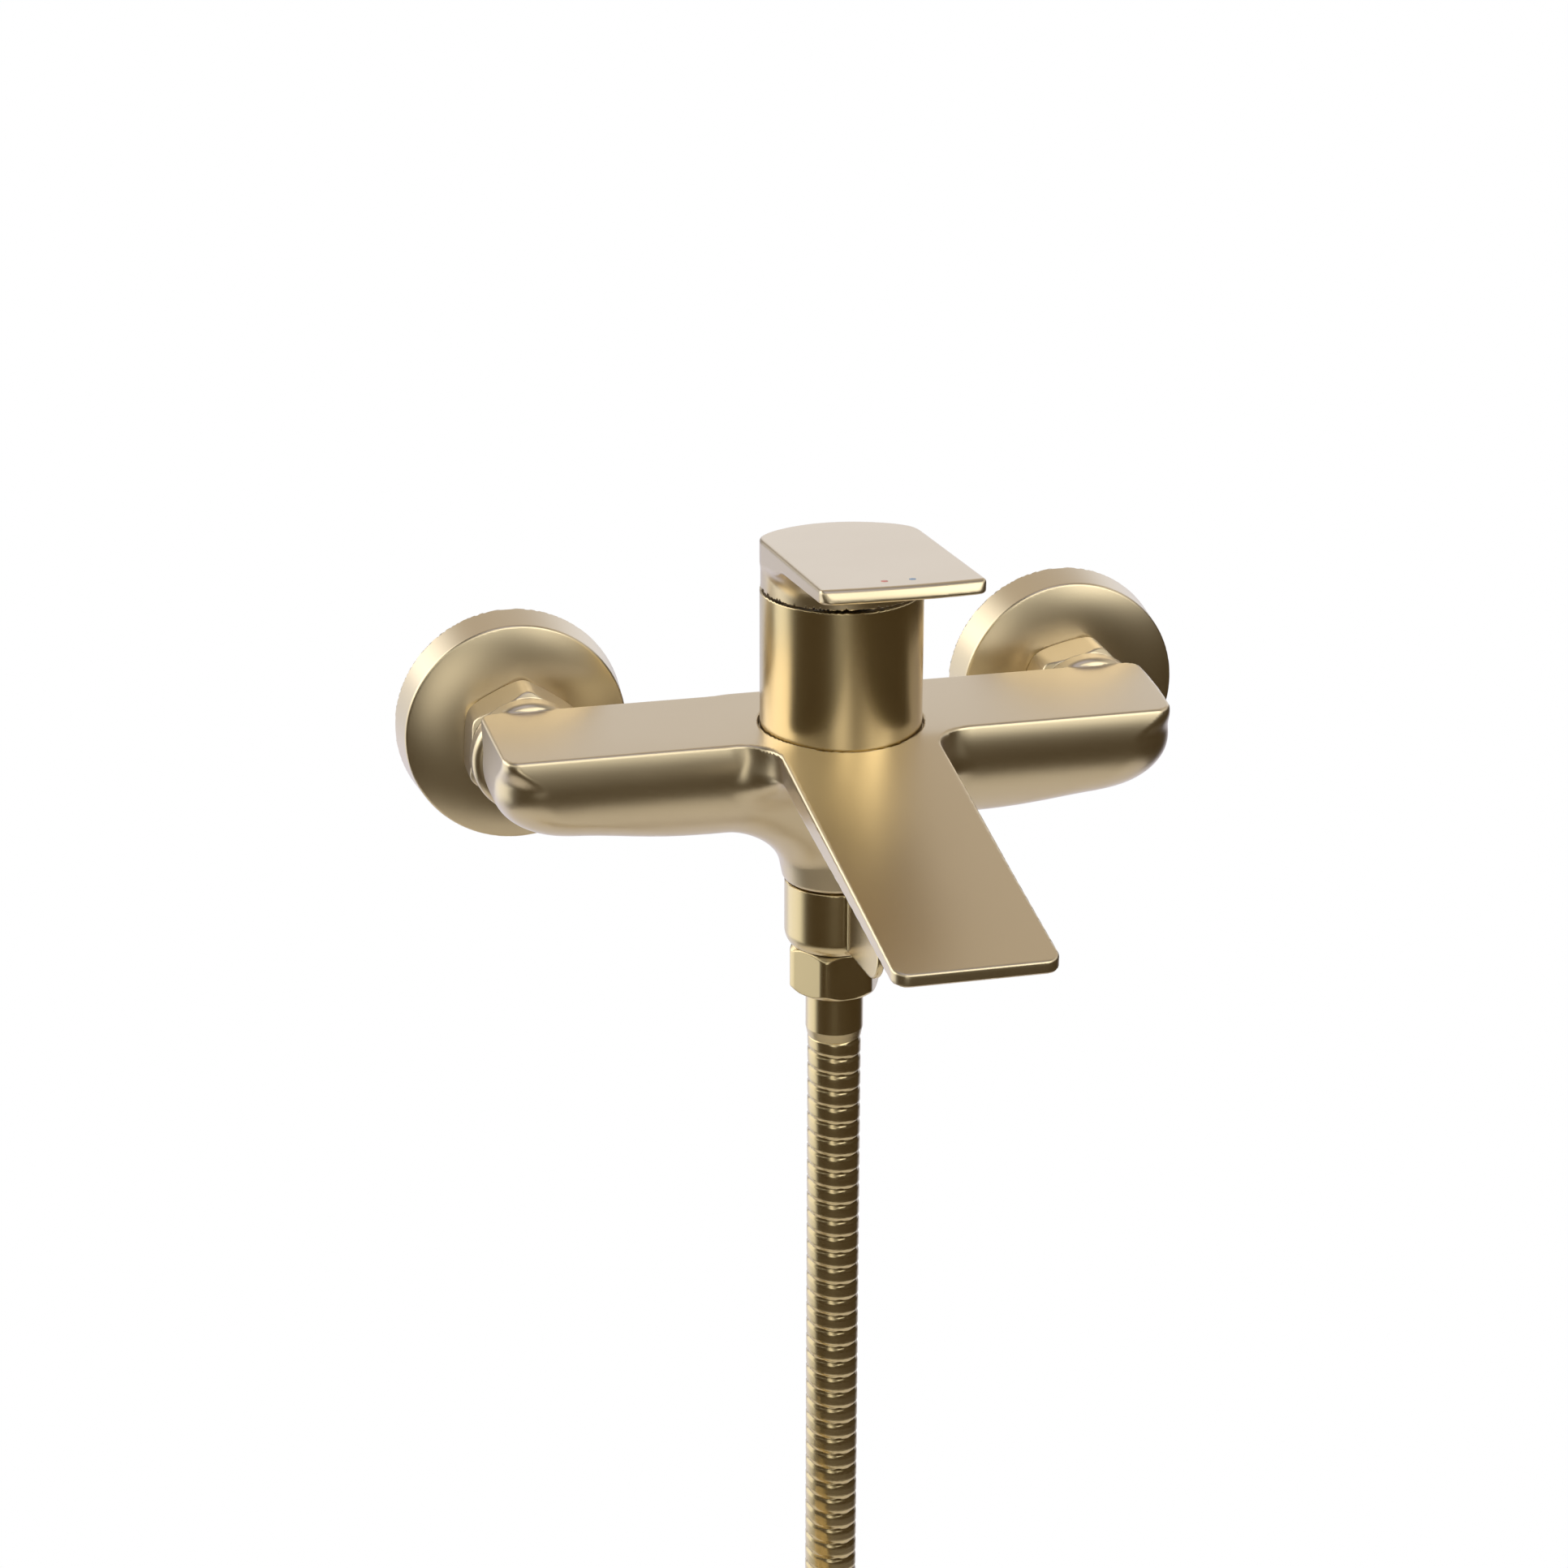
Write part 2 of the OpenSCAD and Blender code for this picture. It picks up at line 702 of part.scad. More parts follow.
module diverter_pin() {
    color(steel) at_outlet() rotate([0, 0, fin_yaw - 90]) translate([5.8, 0, pin_z])
        rotate([0, 90, 0]) cylinder(h = 6.6, r = 1.5);
}

module diverter_ring() {
    r = knob_d / 2;
    h = knob_z - knob_low;
    fin_t = 2;
    fin_low = 1.6;
    color(gold) at_outlet() difference() {
        union() {
            translate([0, 0, knob_low]) rotate_extrude($fn = 96) polygon([
                [0, 0], [r - 1.4, 0], [r + 0.1, 2.2], [r, h - 0.3], [r - 0.3, h], [0, h]
            ]);
            rotate([0, 0, fin_yaw]) translate([-fin_t / 2, 0, 0]) rotate([90, 0, 90])
                linear_extrude(fin_t) translate([-fin_reach, knob_low + fin_low])
                    fin_outline(fin_reach, h - fin_low - 0.2);
        }
        translate([0, 0, knob_low - 1]) cylinder(h = h + 2, r = spigot_r + 0.08);
        translate([0, 0, knob_low - 1]) cylinder(h = 1.95, r = 11.3);
        rotate([0, 0, fin_yaw - 90]) translate([5, 0, pin_z]) rotate([0, 90, 0])
            cylinder(h = 7.4, r = 1.5);
    }
}

// Finger plate seen from the side, its outer corners rounded
module fin_outline(len, h) {
    low = 8;
    top = 3.5;
    translate([low, 0]) square([len - low, h]);
    translate([0, low]) square([len, h - low - top]);
    translate([top, h - top]) square([len - top, top]);
    translate([low, low]) circle(low);
    translate([top, h - top]) circle(top);
}

module knob_clip() {
    color(steel) at_outlet() difference() {
        tube(11.2, g12_r, knob_low + 0.1, knob_low + 0.9);
        translate([-1.5, 5, knob_low - 1]) cube([3, 10, 4]);
    }
}

// ---- spout outlet ----

module grille_place() {
    translate([0, -grille_y, grille_z]) rotate([spout_fall, 0, 0]) children();
}

// Slotted outlet plate pressed into the underside of the spout
module spout_grille() {
    color(gold) grille_place() difference() {
        translate([-14.5, -5.5, -2.2]) cube([29, 11, 1.4]);
        for (i = [-6:6], j = [-1, 0, 1])
            translate([i * 2.1 - 0.7, j * 3 - 1.1, -3]) cube([1.4, 2.2, 3]);
    }
}

module grille_seal() {
    color(rubber) grille_place() difference() {
        translate([-14.5, -5.5, -0.8]) cube([29, 11, 0.8]);
        translate([-13.3, -4.7, -2]) cube([26.6, 9.4, 3]);
    }
}

// ---- hose ----

module hose_washer() {
    color(rubber) at_outlet() tube(9.4, 5.5, washer_z, nipple_z);
}

module hose_nut() {
    af = 21.8;
    color(gold) at_outlet() difference() {
        translate([0, 0, nut_low]) rotate([0, 0, 4])
            hex_blank(af, nut_top - nut_low, af / 2 + 1.3, 1.2);
        translate([0, 0, flange_z - 0.05]) cylinder(h = 20, r = g12_r + run);
        translate([0, 0, nut_low - 1]) cylinder(h = 20, r = ferrule_r + 0.35);
    }
}

module hose_ferrule() {
    color(gold) at_outlet() rotate_extrude() polygon([
        [4.5, washer_z], [9.4, washer_z], [9.4, flange_z], [ferrule_r, flange_z],
        [ferrule_r, ferrule_z + 2.5], [ferrule_r - 0.5, ferrule_z], [4.5, ferrule_z]
    ]);
}

// Tube swept along a route with a ring of points at each stop
function sweep_frame(t) = let (u = cross(t, [0, 1, 0])) [u / norm(u), cross(u / norm(u), t)];
function sweep_points(route, r, n) = [
    for (i = [0:len(route) - 1])
        let (a = route[max(i - 1, 0)], b = route[min(i + 1, len(route) - 1)])
        let (t = (b - a) / norm(b - a), f = sweep_frame(t))
        for (k = [0:n - 1]) route[i] + r * (cos(360 * k / n) * f[0] + sin(360 * k / n) * f[1])
];
function sweep_faces(m, n) = concat(
    [[for (k = [0:n - 1]) k]],
    [for (i = [0:m - 2], k = [0:n - 1])
        [i * n + k, (i + 1) * n + k, (i + 1) * n + (k + 1) % n, i * n + (k + 1) % n]],
    [[for (k = [n - 1:-1:0]) (m - 1) * n + k]]
);

module hose() {
    sides = 12;
    stops = [for (i = [0:2:len(hose_route) - 1]) hose_route[i]];
    color(gold) polyhedron(
        sweep_points(stops, hose_r, sides),
        sweep_faces(len(stops), sides),
        convexity = 4
    );
}

// Outer shape of the whole coil, with the ends of the hose that run into it; the seam
// of the ring is turned away from both ends
module hose_coil() {
    corner = hose_r - 0.5;
    color(gold) union() {
        at_coil() rotate([0, 0, 100]) rotate_extrude($fn = 96)
            translate([coil_r - hose_r, 0]) polygon(concat(
                arc([corner, corner], corner, 180, 270, 4),
                arc([hose_d - corner, corner], corner, 270, 360, 4),
                arc([hose_d - corner, coil_w - corner], corner, 0, 90, 4),
                arc([corner, coil_w - corner], corner, 90, 180, 4)
            ));
        translate([0, coil_y, coil_z]) cylinder(h = coil_stub, r = hose_r, $fn = 32);
        translate([0, tail_y, tail_z]) cylinder(h = coil_z - tail_z, r = hose_r, $fn = 32);
    }
}

module at_coil() {
    translate([-coil_r, coil_y + hose_r, coil_z]) rotate([90, 0, 0]) children();
}

// Strap round the turns at the top of the coil
module coil_tie() {
    t = 1.6;
    color(rubber) at_coil() rotate([0, 0, 86]) rotate_extrude(angle = 8, $fn = 96) difference() {
        translate([coil_r - hose_r - t, -t]) square([hose_d + 2 * t, coil_w + 2 * t]);
        translate([coil_r - hose_r, 0]) square([hose_d, coil_w]);
    }
}

module at_tail() {
    translate([0, tail_y, 0]) children();
}

module end_ferrule() {
    color(gold) at_tail() rotate_extrude() polygon([
        [4.5, tail_z], [ferrule_r - 0.5, tail_z], [ferrule_r, tail_z - 2.5], [ferrule_r, end_cap_z],
        [9, end_cap_z], [9, end_cap_z - 1.5], [4.5, end_cap_z - 1.5]
    ]);
}

// Long tapered nut: thread for a hand shower, then a wider seat for washer and flange
module end_nut() {
    top = end_cap_z + 5;
    low = end_cap_z - 15;
    thread_to = end_washer_z - 0.3;
    color(gold) at_tail() difference() {
        rotate_extrude() polygon([
            [0, low], [11.4, low], [12, low + 0.6], [12, low + 7], [9.9, top - 0.6],
            [9.5, top], [0, top]
        ]);
        translate([0, 0, low - 1]) cylinder(h = 40, r = ferrule_r + 0.35);
        translate([0, 0, low - 1]) cylinder(h = thread_to - low + 1, r = g12_minor_r);
        translate([0, 0, thread_to]) cylinder(h = end_cap_z + 0.05 - thread_to, r = 9.6);
    }
}

module end_washer() {
    color(rubber) at_tail() tube(9, 5, end_washer_z, end_cap_z - 1.5);
}

body();
rosette(-1);  // rosette_left
rosette(1);  // rosette_right
wall_union(-1);  // wall_union_left
wall_union(1);  // wall_union_right
union_nut(-1, 26);  // union_nut_left
union_nut(1, 13.5);  // union_nut_right
inlet_tail(-1);  // inlet_tail_left
inlet_tail(1);  // inlet_tail_right
filter_washer(-1);  // filter_washer_left
filter_washer(1);  // filter_washer_right
sleeve();
retaining_nut();
cartridge_housing();
cartridge_base();
base_seals();
fixed_disc();
moving_disc();
disc_carrier();
stem_guide();
stem_pin();
stem();
lever();
lever_screw();
screw_plug();
outlet_spigot();
spigot_seal();
diverter_spool();
spool_rings();
diverter_pin();
diverter_ring();
knob_clip();
spout_grille();
grille_seal();
hose_washer();
hose_nut();
hose_ferrule();
hose();
hose_coil();
coil_tie();
end_ferrule();
end_washer();
end_nut();
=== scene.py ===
import json
import math

import bpy
import numpy as np
from mathutils import Matrix, Vector


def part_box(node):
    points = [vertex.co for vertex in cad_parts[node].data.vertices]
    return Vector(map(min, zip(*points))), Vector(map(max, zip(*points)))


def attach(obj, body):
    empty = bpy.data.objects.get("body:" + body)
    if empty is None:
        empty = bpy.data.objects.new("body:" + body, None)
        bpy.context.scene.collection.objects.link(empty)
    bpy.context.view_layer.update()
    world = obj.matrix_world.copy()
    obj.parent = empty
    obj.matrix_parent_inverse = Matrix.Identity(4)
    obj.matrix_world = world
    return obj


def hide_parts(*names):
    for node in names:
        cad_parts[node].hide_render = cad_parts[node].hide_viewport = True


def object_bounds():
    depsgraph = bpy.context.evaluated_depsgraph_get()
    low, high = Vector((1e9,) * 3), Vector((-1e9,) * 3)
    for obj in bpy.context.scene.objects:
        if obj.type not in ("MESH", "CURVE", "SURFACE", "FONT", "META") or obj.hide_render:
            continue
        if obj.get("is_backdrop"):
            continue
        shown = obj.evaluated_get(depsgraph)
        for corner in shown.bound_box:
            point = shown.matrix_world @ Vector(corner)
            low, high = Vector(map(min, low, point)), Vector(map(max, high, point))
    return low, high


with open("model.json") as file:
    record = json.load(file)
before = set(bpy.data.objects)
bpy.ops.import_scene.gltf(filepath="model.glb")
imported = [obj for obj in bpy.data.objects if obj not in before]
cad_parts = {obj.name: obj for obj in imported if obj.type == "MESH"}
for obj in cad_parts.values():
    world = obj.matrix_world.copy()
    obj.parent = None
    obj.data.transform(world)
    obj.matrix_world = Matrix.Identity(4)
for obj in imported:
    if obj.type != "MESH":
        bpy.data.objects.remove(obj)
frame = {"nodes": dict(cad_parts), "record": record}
cadLow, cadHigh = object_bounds()
print("frame loaded")

mm = 0.001


def cadBox(node):
    # corners of a CAD node at rest, in millimetres
    low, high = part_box(node)
    return np.array(low) / mm, np.array(high) / mm


def linear(code):
    # "#rrggbb" as linear red, green, blue, alpha
    parts = [int(code[i:i + 2], 16) / 255 for i in (1, 3, 5)]
    return [c / 12.92 if c <= 0.04045 else ((c + 0.055) / 1.055) ** 2.4 for c in parts] + [1.0]


def add(tree, kind, settings=None, **links):
    # one node, its properties or socket values, and links into its sockets by name or number
    node = tree.nodes.new(kind)
    for key, value in (settings or {}).items():
        if isinstance(key, int) or key in node.inputs:
            node.inputs[key].default_value = value
        else:
            setattr(node, key, value)
    for key, output in links.items():
        numbered = key[0] == "i" and key[1:].isdigit()  # i0 is the first input
        tree.links.new(output, node.inputs[int(key[1:]) if numbered else key])
    return node


def newMaterial(name):
    material = bpy.data.materials.new(name)
    material.use_nodes = True
    material.node_tree.nodes.clear()
    return material, material.node_tree


# Bead-blasted brass castings under a champagne vapour coat: the blast leaves a fine even grain,
# so reflections are wide and soft, and the colour pales where the surface is seen edge-on.
blastedGoldLook = {
    "face": "#dacbaa",  # colour seen square on
    "edge": "#e8dfdc",  # colour seen edge-on
    "roughness": 0.32,
    "grainMm": 0.35,  # blasting beads leave finer dents, drawn as coarse as they can show
    "grainDepth": 0.05,
    "spread": 0.02,  # roughness goes up and down by this much
    "cloudScale": 45.0,  # per metre, about 22 mm across
}
# Turned and then lightly blasted brass under the same coat: smoother, so the coat looks deeper
# and the reflections have harder ends.
turnedGoldLook = {
    "face": "#dcca9e",
    "edge": "#e8dfd2",
    "roughness": 0.26,
    "grainMm": 0.35,
    "grainDepth": 0.03,
    "spread": 0.02,
    "cloudScale": 45.0,  # per metre, about 22 mm across
}
edgeFade = 2.6  # how late the colour pales towards the edge
grainHeight = 0.0001  # metres


def satinGold(name, look):
    material, tree = newMaterial(name)
    place = add(tree, "ShaderNodeTexCoord")
    grain = add(tree, "ShaderNodeTexNoise", {"Scale": 1 / (look["grainMm"] * mm), "Detail": 2.0},
                Vector=place.outputs["Object"])
    cloud = add(tree, "ShaderNodeTexNoise", {"Scale": look["cloudScale"], "Detail": 3.0},
                Vector=place.outputs["Object"])
    facing = add(tree, "ShaderNodeLayerWeight", {"Blend": 0.5})
    fade = add(tree, "ShaderNodeMath", {"operation": "POWER", 1: edgeFade},
               i0=facing.outputs["Facing"])
    colour = add(tree, "ShaderNodeMix", {"data_type": "RGBA", 6: linear(look["face"]),
                                         7: linear(look["edge"])}, Factor=fade.outputs[0])
    rough = add(tree, "ShaderNodeMapRange",
                {"To Min": look["roughness"] - look["spread"],
                 "To Max": look["roughness"] + look["spread"]},
                Value=cloud.outputs[0])
    bump = add(tree, "ShaderNodeBump", {"Strength": look["grainDepth"], "Distance": grainHeight},
               Height=grain.outputs[0])
    shader = add(tree, "ShaderNodeBsdfPrincipled", {"Metallic": 1.0}, Roughness=rough.outputs[0],
                 Normal=bump.outputs[0])
    tree.links.new(colour.outputs[2], shader.inputs["Base Color"])
    out = add(tree, "ShaderNodeOutputMaterial")
    tree.links.new(shader.outputs[0], out.inputs[0])
    return material


# Plain finishes of the pieces inside, the seals and the printed dots: colour, metallic, roughness
plainLooks = {
    "rawBrass": ("#cfa653", 1.0, 0.32),  # turned and left uncoated, brighter and yellower
    "stainlessSteel": ("#b9babd", 1.0, 0.28),  # drawn wire and pins, grey with a soft shine
    "blackRubber": ("#161616", 0.0, 0.62),  # moulded in a blasted tool, so it is matt
    "pressedFibre": ("#35493d", 0.0, 0.85),  # sheet pressed from fibres, dull
    "greyPlastic": ("#5c5e62", 0.0, 0.5),  # moulded acetal, half matt
    "whitePlastic": ("#e4e3df", 0.0, 0.35),  # moulded acetal, slightly glossy
    "lappedCeramic": ("#efece4", 0.0, 0.12),  # lapped flat and shining
    "redInk": ("#d88f88", 0.0, 0.5),  # pad-printed, thin and pale
    "blueInk": ("#8fa9c6", 0.0, 0.5),
}
plainCloud = {"scale": 160.0, "spread": 0.04}  # per metre, about 6 mm across


def plainMaterial(name):
    code, metallic, roughness = plainLooks[name]
    material, tree = newMaterial(name)
    place = add(tree, "ShaderNodeTexCoord")
    cloud = add(tree, "ShaderNodeTexNoise", {"Scale": plainCloud["scale"], "Detail": 3.0},
                Vector=place.outputs["Object"])
    spread = plainCloud["spread"]
    rough = add(tree, "ShaderNodeMapRange",
                {"To Min": roughness - spread, "To Max": roughness + spread},
                Value=cloud.outputs[0])
    shader = add(tree, "ShaderNodeBsdfPrincipled",
                 {"Metallic": metallic, "Base Color": linear(code)}, Roughness=rough.outputs[0])
    out = add(tree, "ShaderNodeOutputMaterial")
    tree.links.new(shader.outputs[0], out.inputs[0])
    return material


gold = satinGold("blastedGold", blastedGoldLook)
turnedGold = satinGold("turnedGold", turnedGoldLook)
finishes = {name: plainMaterial(name) for name in plainLooks}
slotFinish = {
    "satin_gold": gold,
    "raw_brass": finishes["rawBrass"],
    "steel": finishes["stainlessSteel"],
    "black_rubber": finishes["blackRubber"],
    "fibre": finishes["pressedFibre"],
    "grey_plastic": finishes["greyPlastic"],
    "white_plastic": finishes["whitePlastic"],
    "ceramic": finishes["lappedCeramic"],
}

turnedPieces = {"hose_ferrule", "end_ferrule", "end_nut", "screw_plug"}
for part in frame["record"]["subparts"]:
    node = frame["nodes"][part["node"]]
    finish = turnedGold if part["node"] in turnedPieces else slotFinish[part["material_slot"]]
    node.data.materials.clear()
    node.data.materials.append(finish)
print("materials made")

# A field gives each point's distance to a surface, below 0 inside, in millimetres.


def roundMax(a, b, radius):
    # what is inside both, with the edge between them rounded
    inner = np.minimum(np.maximum(a, b), -radius)
    return inner + np.hypot(np.maximum(a + radius, 0), np.maximum(b + radius, 0))


def roundMin(a, b, radius):
    # what is inside either, with a hollow fillet between them
    return -roundMax(-a, -b, radius)


def band(value, low, high):
    return np.maximum(low - value, value - high)


def smooth(value, low, high):
    t = np.clip((value - low) / (high - low), 0, 1)
    return t * t * (3 - 2 * t)


def mix(a, b, share):
    return a + (b - a) * share


def hexagon(u, v, acrossFlats, turn):
    # distance to a hexagon with a corner at the angle turn
    angles = [math.radians(turn + 30 + 60 * k) for k in range(3)]
    flats = [np.abs(u * math.cos(a) + v * math.sin(a)) for a in angles]
    return np.maximum.reduce(flats) - acrossFlats / 2


def meshFrom(name, points, faces, material, normals=None):
    data = bpy.data.meshes.new(name)
    data.from_pydata(points, [], faces)
    data.update()
    data.polygons.foreach_set("use_smooth", [True] * len(data.polygons))
    if normals is not None:
        data.normals_split_custom_set_from_vertices(normals)
    data.materials.append(material)
    thing = bpy.data.objects.new(name, data)
    bpy.context.scene.collection.objects.link(thing)
    return thing


def gradient(field, points, reach):
    slope = np.empty_like(points)
    for axis in range(3):
        shift = np.zeros(3)
        shift[axis] = reach
        slope[:, axis] = (field(*(points + shift).T) - field(*(points - shift).T)) / (2 * reach)
    return slope


def skin(name, field, low, high, step, material=gold):
    # closed mesh of the surface where field is 0, one point in each grid cell that it crosses
    low = np.array(low, float) - 2 * step
    high = np.array(high, float) + 2 * step
    count = np.ceil((high - low) / step).astype(int) + 1
    lines = [low[i] + step * np.arange(count[i]) for i in range(3)]
    value = np.empty(count, np.float32)
    for start in range(0, count[0], 16):
        grid = np.meshgrid(lines[0][start:start + 16], lines[1], lines[2], indexing="ij")
        value[start:start + 16] = field(*grid)
    inside = value < 0
    quads, owners, places = [], [], []
    for axis in range(3):
        first = tuple(slice(0, -1) if k == axis else slice(None) for k in range(3))
        second = tuple(slice(1, None) if k == axis else slice(None) for k in range(3))
        crossing = inside[first] != inside[second]
        at = np.argwhere(crossing)
        a, b = value[first][crossing], value[second][crossing]
        place = at.astype(float)
        place[:, axis] += a / (a - b)
        u, v = [(axis + 1) % 3, (axis + 2) % 3]
        corners = []
        for du, dv in ((0, 0), (1, 0), (1, 1), (0, 1)):
            cell = at.copy()
            cell[:, u] -= du
            cell[:, v] -= dv
            corners.append(np.ravel_multi_index(cell.T, count))
            owners.append(corners[-1])
            places.append(place)
        quad = np.stack(corners, 1)
        flip = b < a
        quad[flip] = quad[flip][:, ::-1]
        quads.append(quad)
    cells, index = np.unique(np.concatenate(owners), return_inverse=True)
    places = np.concatenate(places)
    hits = np.bincount(index)
    points = np.stack([np.bincount(index, places[:, k]) / hits for k in range(3)], 1) * step + low
    for _ in range(3):  # move each point onto the surface
        slope = gradient(field, points, step * 0.1)
        size = np.maximum((slope ** 2).sum(1), 0.05)
        move = slope * (field(*points.T) / size)[:, None]
        points -= np.clip(move, -step * 0.4, step * 0.4)
    normals = gradient(field, points, step * 0.15)
    normals /= np.maximum(np.linalg.norm(normals, axis=1), 1e-9)[:, None]
    faces = np.searchsorted(cells, np.concatenate(quads))
    return meshFrom(name, points * mm, faces.tolist(), material, normals)


bodyLow, bodyHigh = cadBox("body")
sleeveLow, sleeveHigh = cadBox("sleeve")
towerY = (sleeveLow[1] + sleeveHigh[1]) / 2
sleeveRadius = (sleeveHigh[0] - sleeveLow[0]) / 2
ringLow, ringHigh = cadBox("diverter_ring")
spigotLow, spigotHigh = cadBox("outlet_spigot")
outletY = (spigotLow[1] + spigotHigh[1]) / 2
nutLow, nutHigh = cadBox("union_nut_right")
inletX = (nutLow[0] + nutHigh[0]) / 2

bodyShape = {
    "top": 13.1,
    "back": -30.8,
    "front": -70.0,
    "low": -15.8,  # lowest line of the round underside
    "waist": 5.2,  # height of the widest line
    "leftHalf": 89.4,  # from the middle to each end, below the deck
    "rightHalf": 88.6,
    "topDraw": 1.7,  # the ends lean in by this much at the deck
    "leftSlant": 0.3,  # how far each end comes in towards the room
    "rightSlant": 3.4,
    "endRound": 21.0,  # lower corners of the ends, seen from the room
    "baseDrop": 9.0,  # the outline's base drops by this towards the middle
    "baseFrom": 72.0,  # x where the drop starts, and the distance that it takes
    "baseRun": 40.0,
    "cornerTop": 4.0,  # upright corners of the ends, at the top and further down
    "cornerLow": 12.0,
    "frontEdge": 0.6,
    "backEdge": 1.1,
    "endEdge": 0.7,
    "spoutEdge": 0.9,
    "tipEdge": 0.6,
    "spoutRoot": 20.4,  # half width where the spout leaves the body
    "spoutTip": 19.6,
    "spoutBreak": -72.0,  # where the spout starts to fall
    "breakSoft": 3.0,  # the slope sets in over about this far each way
    "spoutRun": 108.0,  # from there to the tip
    "spoutFall": 8.4,
    "rootDepth": 6.6,
    "tipDepth": 3.2,
    "rootTop": 7.5,  # fillet between spout and bar, at the deck and further down
    "rootLow": 13.0,
    "spoutCorner": 4.0,  # corners of the spout's tip, seen from above
    "bossRadius": 13.55,
    "bossTaper": 0.2,
    "bossEdge": 1.0,
    "bossGap": 0.4,  # above the diverter ring
    "bossFillet": 13.5,
    "inletRadius": 14.9,
    "inletBack": -33.0,
    "inletEdge": 0.5,
    "inletRoot": 2.5,
    "inletBore": 9.0,
    "chamberRadius": 15.2,  # hollow for the cartridge
    "chamberFloor": 14.0,
    "threadRadius": 16.4,
    "threadFloor": 37.0,
    "spigotRadius": 10.8,
    "spigotRoof": -14.0,
    "towerRadius": 18.9,  # the tube inside the sleeve
    "towerTop": 43.0,
    "recessGap": 0.5,  # around the sleeve's foot
    "recessEdge": 0.35,
    "pocketHalf": 14.5,  # half width of the grille's pocket
}


def bodyField(x, y, z, shape=bodyShape):
    middle = (shape["back"] + shape["front"]) / 2
    radius = (shape["back"] - shape["front"]) / 2
    lowest, waist = shape["low"], shape["waist"]
    across = y - middle
    up = np.where(z < waist, (z - waist) * radius / (waist - lowest), z - waist)
    rounded = (z < waist) | (across < 0)
    section = np.where(rounded, np.hypot(across, up), np.abs(across)) - radius
    slant = np.where(x < 0, shape["leftSlant"], shape["rightSlant"])
    half = np.where(x < 0, shape["leftHalf"], shape["rightHalf"])
    half = half - shape["topDraw"] * smooth(z, -2, shape["top"] + 2)
    ends = np.abs(x) - half + slant * np.maximum((shape["back"] - y) / (2 * radius), 0) ** 2
    # the underside is round between the ends, so the flat base of the outline drops away there
    drop = smooth(shape["baseFrom"] - np.abs(x), 0, shape["baseRun"])
    base = lowest - z - shape["baseDrop"] * drop
    outline = roundMax(ends, base, shape["endRound"])
    corner = mix(shape["cornerTop"], shape["cornerLow"], smooth(-z, -12.5, -5))
    bar = roundMax(section, outline, corner)
    # spout, without its top face
    fall = math.tan(math.radians(shape["spoutFall"]))
    past = shape["spoutBreak"] - y
    width = mix(shape["spoutRoot"], shape["spoutTip"], smooth(past, 0, shape["spoutRun"]))
    tipY = bodyLow[1]
    plan = roundMax(np.abs(x) - width, tipY - y, shape["spoutCorner"])
    topZ = shape["top"] - fall * 0.5 * (np.sqrt(past ** 2 + shape["breakSoft"] ** 2) + past)
    rootY = shape["spoutBreak"] + 6  # the underside starts a little behind the break
    rootLow = shape["top"] - shape["rootDepth"]
    tipLow = shape["top"] - fall * (shape["spoutBreak"] - tipY) - shape["tipDepth"]
    lowZ = mix(rootLow, tipLow, (rootY - y) / (rootY - tipY))
    spoutEdge = mix(shape["spoutEdge"], shape["tipEdge"], smooth(past, 60, 100))
    slab = roundMax(plan, (lowZ - z) * 0.994, spoutEdge)
    slab = np.maximum(slab, y + 45)  # ends inside the bar
    # outlet boss under the bar
    r = np.hypot(x, y - outletY)
    bossZ = ringHigh[2] + shape["bossGap"]
    boss = (r - shape["bossRadius"] - shape["bossTaper"] * (z - bossZ)) * 0.98
    boss = roundMax(boss, bossZ - z, shape["bossEdge"])
    boss = np.maximum(boss, z - 4)  # ends inside the bar too
    body = roundMin(bar, boss, shape["bossFillet"])
    rootFillet = mix(shape["rootTop"], shape["rootLow"], smooth(-z, -11, 0))
    body = roundMin(body, slab, rootFillet)
    # common top face
    edge = mix(shape["backEdge"], shape["frontEdge"], smooth(-across, 0, 6))
    edge = mix(edge, shape["endEdge"], smooth(ends - section, -3, 1))
    edge = mix(edge, spoutEdge, smooth(past, 2, 12))
    body = roundMax(body, (z - topZ) * 0.99, edge)
    # inlet bosses
    for side in (-1, 1):
        ri = np.hypot(x - side * inletX, z)
        inlet = roundMax(ri - shape["inletRadius"], y - (nutLow[1] - 0.4), shape["inletEdge"])
        inlet = roundMax(inlet, shape["inletBack"] - y, shape["inletRoot"])
        body = roundMin(body, inlet, 0.4)
        bore = np.maximum(ri - shape["inletBore"], band(y, -42.0, -20.0))
        body = np.maximum(body, -bore)
    # cartridge tower, its ring recess and its chamber
    rt = np.hypot(x, y - towerY)
    inner = shape["towerRadius"]
    tower = np.maximum(rt - inner, band(z, 0, shape["towerTop"]))
    recess = np.maximum(band(rt, inner, sleeveRadius + shape["recessGap"]), sleeveLow[2] - z)
    body = roundMax(np.minimum(body, tower), -recess, shape["recessEdge"])
    chamber = np.maximum(rt - shape["chamberRadius"], shape["chamberFloor"] - z)
    thread = np.maximum(rt - shape["threadRadius"], shape["threadFloor"] - z)
    body = np.maximum(body, -np.minimum(chamber, thread))
    spigot = np.maximum(r - shape["spigotRadius"], z - shape["spigotRoof"])
    body = np.maximum(body, -spigot)
    # pocket of the outlet grille
    grilleLow, grilleHigh = cadBox("spout_grille")
    pocket = np.maximum(band(x, -shape["pocketHalf"], shape["pocketHalf"]),
                        band(y, grilleLow[1], grilleHigh[1]))
    pocket = np.maximum(pocket, z - (grilleHigh[2] + 0.9 + (y - grilleHigh[1]) * fall))
    return np.maximum(body, -pocket)


